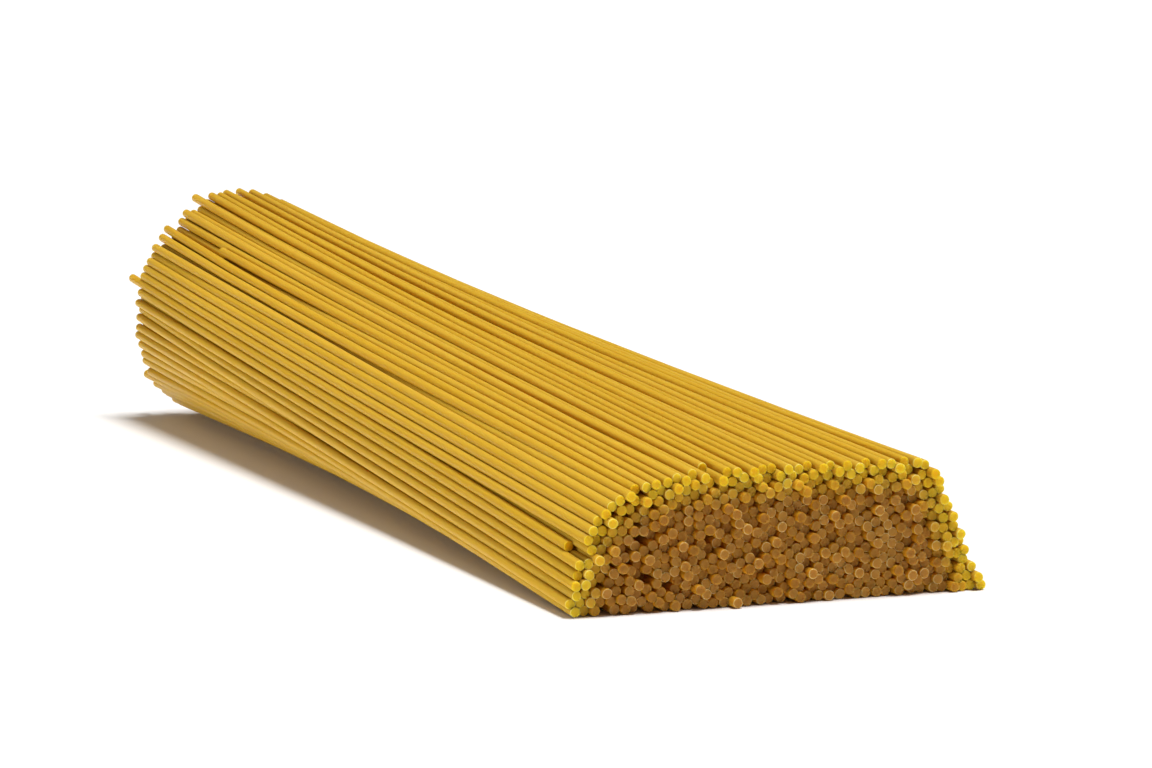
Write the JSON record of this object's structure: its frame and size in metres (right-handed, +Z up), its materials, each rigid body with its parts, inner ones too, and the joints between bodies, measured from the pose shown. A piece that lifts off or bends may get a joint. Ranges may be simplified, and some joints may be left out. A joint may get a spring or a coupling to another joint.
{
  "type": "bundle of dry spaghetti",
  "caption": "Bundle of straight dry spaghetti strands lying on its side, round at one end and slumped into a wide low mound at the other.",
  "frame": {"origin": "on the floor, at the middle of the bounding box's underside", "axes": "+Y along the strands from the slumped end to the round end, +X across the bundle, +Z up"},
  "size_m": [0.0716, 0.2632, 0.0447],
  "materials": {
    "dry_pasta": null
  },
  "bodies": {
    "root": {"spaghetti_bundle": "dry_pasta"}
  },
  "joints": []
}
